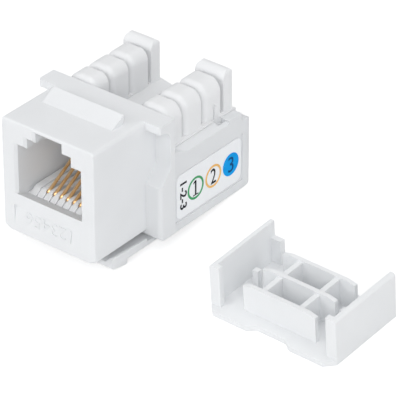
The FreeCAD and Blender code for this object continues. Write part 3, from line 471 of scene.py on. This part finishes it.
@dataclass
class LabelPrint:
    """Three numbered rings and an upright row of figures on the right-hand label."""

    ink_thickness: float = 0.02 * MM
    ring_outer: float = 1.58 * MM
    ring_stroke: float = 0.30 * MM
    figure_height: float = 2.15 * MM
    figure_width: float = 1.05 * MM
    ring_pitch: float = 3.50 * MM
    ring_centre_from_back: float = 5.55 * MM
    ring_centre_height: float = 3.05 * MM
    tag_height: float = 1.3 * MM
    tag_length: float = 3.8 * MM
    tag_from_front: float = 1.30 * MM
    tag_weight: float = 0.02

    def plane(self, along: float, up: float, turn: float = 0.0, lift: float = 0.0) -> Matrix:
        """Lay a flat mesh on the label, facing outwards.

        Args:
            along: distance from the label's front end.
            up: height above the label's bottom edge.
            turn: turn on the label, in radians.
            lift: distance off the label's face.

        Returns:
            The placing matrix.
        """
        low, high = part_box("label_right")
        upright = Matrix(((0, 0, 1, 0), (1, 0, 0, 0), (0, 1, 0, 0), (0, 0, 0, 1)))
        spot = Vector((high.x + lift, low.y + along, low.z + up))
        return Matrix.Translation(spot) @ upright @ Matrix.Rotation(turn, 4, "Z")

    def build(self, finishes: Finishes) -> None:
        """Print the rings, their figures and the upright tag.

        Args:
            finishes: the jack's finishes.
        """
        low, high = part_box("label_right")
        length = high.y - low.y
        middle = length - self.ring_centre_from_back
        rings = ((finishes.green, finishes.ink, self.ring_outer - self.ring_stroke),
                 (finishes.orange, finishes.ink, self.ring_outer - self.ring_stroke),
                 (finishes.blue, finishes.navy, 0.0))
        for number, (ink, figure_ink, inner) in enumerate(rings, start=1):
            along = middle + (number - 2) * self.ring_pitch
            ring = ring_mesh(f"label_ring_{number}", self.ring_outer, inner, self.ink_thickness)
            settle(f"label_ring_{number}", ring, self.plane(along, self.ring_centre_height), ink)
            name = f"label_figure_{number}"
            if number == 1:
                figure = serif_one_mesh(name, self.figure_height, self.figure_width, self.ink_thickness)
            else:
                figure = figures_mesh(name, str(number), self.figure_height, self.ink_thickness,
                                      self.figure_width)
            lift = self.ink_thickness if inner == 0.0 else 0.0
            settle(name, figure,
                   self.plane(along, self.ring_centre_height, lift=lift), figure_ink)
        tag = figures_mesh("label_tag", "1-2-3", self.tag_height, self.ink_thickness,
                           self.tag_length, self.tag_weight)
        settle("label_tag", tag, self.plane(self.tag_from_front, self.ring_centre_height, -math.pi / 2),
               finishes.ink)


@dataclass
class PanelFigures:
    """Raised contact numbers on the sloping panel under the port, to be read with the latch upwards."""

    text: str = "123456"
    height: float = 1.65 * MM
    length: float = 7.4 * MM
    relief: float = 0.1 * MM
    sink: float = 0.05 * MM
    panel_bottom: float = 1.2 * MM
    panel_top: float = 3.9 * MM
    panel_depth: float = 0.35 * MM
    panel_shift: float = -0.28 * MM

    def build(self, finishes: Finishes) -> None:
        """Raise the figures from the panel.

        Args:
            finishes: the jack's finishes.
        """
        mesh = figures_mesh("panel_figures", self.text, self.height, self.relief + self.sink, self.length)
        slope = Vector((0.0, self.panel_depth, self.panel_top - self.panel_bottom))
        up = -slope.normalized()
        right = Vector((-1.0, 0.0, 0.0))
        outward = right.cross(up)
        turn = Matrix((right, up, outward)).transposed().to_4x4()
        foot = Vector((self.panel_shift, 0.0, self.panel_bottom - frame_half_height()))
        spot = foot + slope / 2 - outward * self.sink
        settle("panel_figures", mesh, Matrix.Translation(spot) @ turn, finishes.housing)


def frame_half_height() -> float:
    """Find half the height of the front face, whose middle is the origin.

    Returns:
        The half height in metres.
    """
    _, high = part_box("contact_carrier")
    port_floor_from_bottom = 5.65 * MM
    return port_floor_from_bottom - high.z


# ---------------------------------------------------------------- staging


@dataclass
class Studio:
    """Pale floor that the jack and cap lie on, soft lights and the camera."""

    azimuth: float = math.radians(38.48)
    elevation: float = math.radians(32.16)
    distance: float = 389.5 * MM
    aim_right: float = 18.31 * MM
    aim_up: float = 5.66 * MM
    aim_drop: float = 7.9 * MM
    lens: float = 288.0
    floor_half: float = 1.5
    shell_round: float = 1.6 * MM
    heel_from_face: float = 5.6 * MM
    floor_glow: float = 0.58
    floor_shade: float = 0.6
    floor_colour: float = 0.85
    floor_drop: float = 0.02 * MM
    sky_colour: Colour = (0.985, 0.993, 1.0)
    sky_strength: float = 0.5
    sensor: float = 36.0
    lamp_side: float = 0.35
    lamp_aim: tuple[float, float, float] = (0.012, 0.012, -0.004)

    def camera(self) -> None:
        """Stand the camera to the front right of the jack and above it."""
        back = Vector((math.sin(self.azimuth) * math.cos(self.elevation),
                       -math.cos(self.azimuth) * math.cos(self.elevation), math.sin(self.elevation)))
        right = Vector((math.cos(self.azimuth), math.sin(self.azimuth), 0.0))
        up = back.cross(right)
        data = bpy.data.cameras.new("camera")
        data.lens = self.lens
        data.sensor_width = self.sensor
        data.clip_start = 0.02
        data.clip_end = 20.0
        camera = bpy.data.objects.new("camera", data)
        turn = Matrix((right, up, back)).transposed().to_4x4()
        aim = right * self.aim_right + up * self.aim_up - Vector((0, 0, self.aim_drop))
        camera.matrix_world = Matrix.Translation(aim + back * self.distance) @ turn
        bpy.context.scene.collection.objects.link(camera)
        bpy.context.scene.camera = camera

    def rest(self) -> tuple[Vector, float]:
        """Find how the jack lies on its latch and the shell's rear edge.

        Returns:
            The point under the latch's heel and the slope of the floor in radians.
        """
        latch_low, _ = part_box("latch_arm")
        shell_low, shell_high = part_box("rear_shell")
        heel = Vector((0.0, self.heel_from_face, latch_low.z))
        run = shell_high.y - self.shell_round - heel.y
        return heel, math.atan2(shell_low.z - heel.z, run)

    def floor(self) -> None:
        """Lay the floor under the latch's heel and the shell's rear edge."""
        heel, slope = self.rest()
        work = bmesh.new()
        bmesh.ops.create_grid(work, x_segments=1, y_segments=1, size=self.floor_half)
        tilt = Matrix.Translation(heel - Vector((0, 0, self.floor_drop))) @ Matrix.Rotation(slope, 4, "X")
        bmesh.ops.transform(work, matrix=tilt, verts=work.verts)
        mesh = bpy.data.meshes.new("floor")
        work.to_mesh(mesh)
        work.free()
        mesh.materials.append(self.floor_material())
        floor = bpy.data.objects.new("floor", mesh)
        bpy.context.scene.collection.objects.link(floor)

    def floor_material(self) -> bpy.types.Material:
        """Make a white sweep that keeps a faint shadow and only glows towards the camera.

        Returns:
            The material.
        """
        material = bpy.data.materials.new("floor_sweep")
        material.use_nodes = True
        tree = material.node_tree
        tree.nodes.clear()
        faint = tree.nodes.new("ShaderNodeBsdfDiffuse")
        faint.inputs["Color"].default_value = (self.floor_shade,) * 3 + (1.0,)
        glow = tree.nodes.new("ShaderNodeEmission")
        glow.inputs["Strength"].default_value = self.floor_glow
        shown = tree.nodes.new("ShaderNodeAddShader")
        tree.links.new(faint.outputs["BSDF"], shown.inputs[0])
        tree.links.new(glow.outputs["Emission"], shown.inputs[1])
        matte = tree.nodes.new("ShaderNodeBsdfDiffuse")
        matte.inputs["Color"].default_value = (self.floor_colour,) * 3 + (1.0,)
        path = tree.nodes.new("ShaderNodeLightPath")
        mix = tree.nodes.new("ShaderNodeMixShader")
        output = tree.nodes.new("ShaderNodeOutputMaterial")
        tree.links.new(path.outputs["Is Camera Ray"], mix.inputs["Fac"])
        tree.links.new(matte.outputs["BSDF"], mix.inputs[1])
        tree.links.new(shown.outputs["Shader"], mix.inputs[2])
        tree.links.new(mix.outputs["Shader"], output.inputs["Surface"])
        return material

    def sky(self) -> None:
        """Surround the scene evenly, pure white where the camera sees it directly."""
        world = bpy.data.worlds.new("surroundings")
        world.use_nodes = True
        tree = world.node_tree
        tree.nodes.clear()
        path = tree.nodes.new("ShaderNodeLightPath")
        seen = tree.nodes.new("ShaderNodeMath")
        seen.operation = "MAXIMUM"
        tree.links.new(path.outputs["Is Camera Ray"], seen.inputs[0])
        tree.links.new(path.outputs["Is Transmission Ray"], seen.inputs[1])
        plain = tree.nodes.new("ShaderNodeBackground")
        plain.inputs["Color"].default_value = (*self.sky_colour, 1.0)
        plain.inputs["Strength"].default_value = self.sky_strength
        white = tree.nodes.new("ShaderNodeBackground")
        white.inputs["Color"].default_value = (1.0, 1.0, 1.0, 1.0)
        white.inputs["Strength"].default_value = 1.0
        mix = tree.nodes.new("ShaderNodeMixShader")
        output = tree.nodes.new("ShaderNodeOutputWorld")
        tree.links.new(seen.outputs[0], mix.inputs["Fac"])
        tree.links.new(plain.outputs["Background"], mix.inputs[1])
        tree.links.new(white.outputs["Background"], mix.inputs[2])
        tree.links.new(mix.outputs["Shader"], output.inputs["Surface"])
        bpy.context.scene.world = world

    def lamp(self, name: str, spot: tuple[float, float, float], power: float) -> None:
        """Hang a soft square lamp that faces the jack.

        Args:
            name: lamp name.
            spot: place in metres.
            power: watts.
        """
        data = bpy.data.lights.new(name, "AREA")
        data.size = self.lamp_side
        data.energy = power
        lamp = bpy.data.objects.new(name, data)
        place = Vector(spot)
        facing = (Vector(self.lamp_aim) - place).to_track_quat("-Z", "Y")
        lamp.matrix_world = Matrix.Translation(place) @ facing.to_matrix().to_4x4()
        bpy.context.scene.collection.objects.link(lamp)

    def build(self) -> None:
        """Set the whole stage."""
        self.camera()
        self.floor()
        self.sky()
        self.lamp("key_light", (-0.25, -0.6, 0.3), 1.2)
        self.lamp("front_fill", (0.4, -0.5, 0.42), 1.55)
        self.lamp("side_light", (0.65, 0.12, 0.25), 0.5)
        self.lamp("top_light", (0.0, 0.1, 0.7), 0.85)
        bpy.context.scene.view_settings.view_transform = "Standard"


# ---------------------------------------------------------------- the jack


class KeystoneJack:
    """The jack's parts and the finish of each."""

    def __init__(self, finishes: Finishes) -> None:
        """Keep the finishes.

        Args:
            finishes: the jack's finishes.
        """
        self.finishes = finishes

    def finish_of(self, node: str) -> bpy.types.Material:
        """Choose a part's finish by the part's name.

        Args:
            node: name of the part.

        Returns:
            The finish.
        """
        finishes = self.finishes
        whole = {"front_housing": finishes.housing, "latch_arm": finishes.housing,
                 "contact_carrier": finishes.insert, "idc_block": finishes.insert,
                 "rear_shell": finishes.shell, "termination_cap": finishes.cap,
                 "circuit_board": finishes.mask}
        families = {"contact": finishes.gold, "idc": finishes.tin, "label": finishes.film}
        return whole.get(node) or families[node.split("_")[0]]

    def build(self) -> None:
        """Dress every part and add its marks."""
        for node in sorted(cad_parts):
            dress(node, self.finish_of(node))
        LabelPrint().build(self.finishes)
        PanelFigures().build(self.finishes)


def main() -> None:
    """Build the jack on its stage."""
    logging.basicConfig(level=logging.INFO, format="%(message)s")
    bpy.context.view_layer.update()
    KeystoneJack(Finishes()).build()
    Studio().build()


if __name__ == "__main__":
    main()
